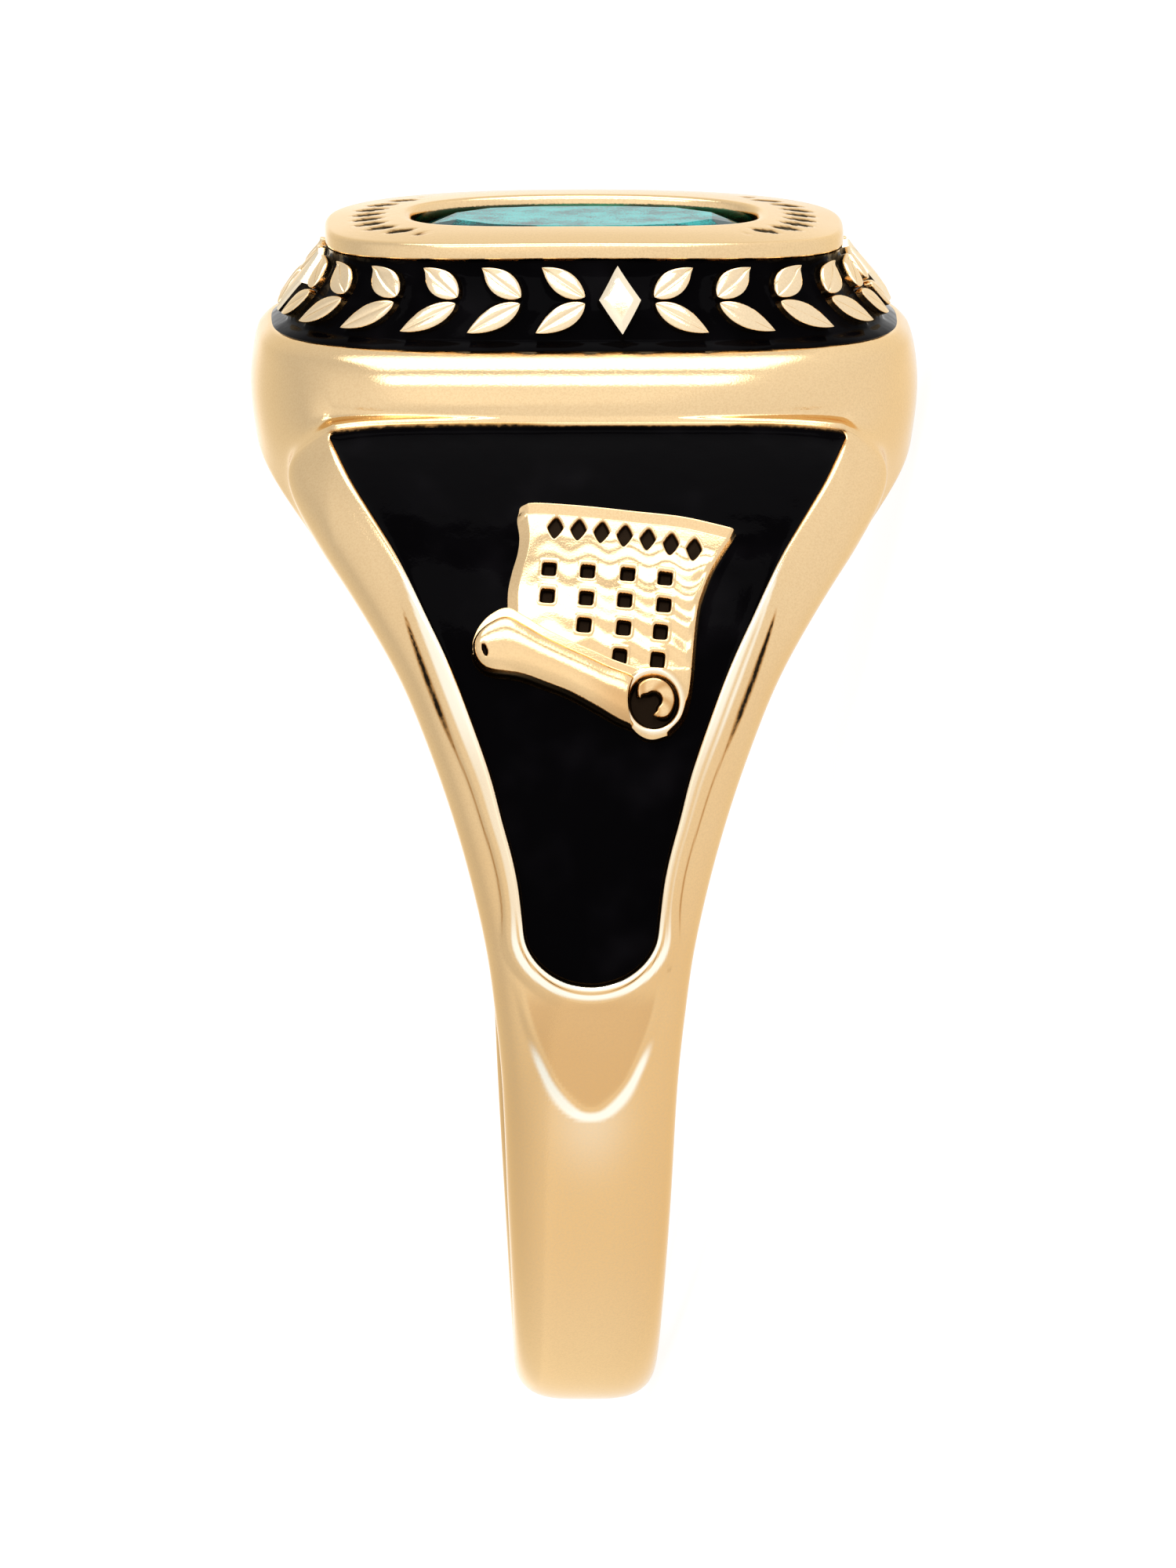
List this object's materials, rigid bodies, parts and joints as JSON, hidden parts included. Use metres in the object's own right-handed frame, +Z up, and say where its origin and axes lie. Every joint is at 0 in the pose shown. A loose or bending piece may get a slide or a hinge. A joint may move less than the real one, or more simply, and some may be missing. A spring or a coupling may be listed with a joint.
{
  "type": "class ring",
  "caption": "Signet-style graduation ring with a faceted oblong stone, a leaf band round the bezel and enamelled shoulders with a scroll emblem.",
  "frame": {"origin": "middle of the finger hole, half way along the axis that the hole and the shank share", "axes": "+Z up, with the ring lying on its side on a table; +Y towards the bezel; +X towards the shoulder that the picture shows; the finger axis leans from +Z towards -Y by the resting tilt"},
  "size_m": [0.021, 0.0238, 0.013],
  "materials": {
    "gold": "polished yellow gold",
    "enamel": "glossy black enamel",
    "stone": "faceted blue-green stone"
  },
  "bodies": {
    "root": {"ring_body": "gold", "stone": "stone", "band_enamel": "enamel", "panel_enamel_near": "enamel", "panel_enamel_far": "enamel"}
  },
  "joints": []
}
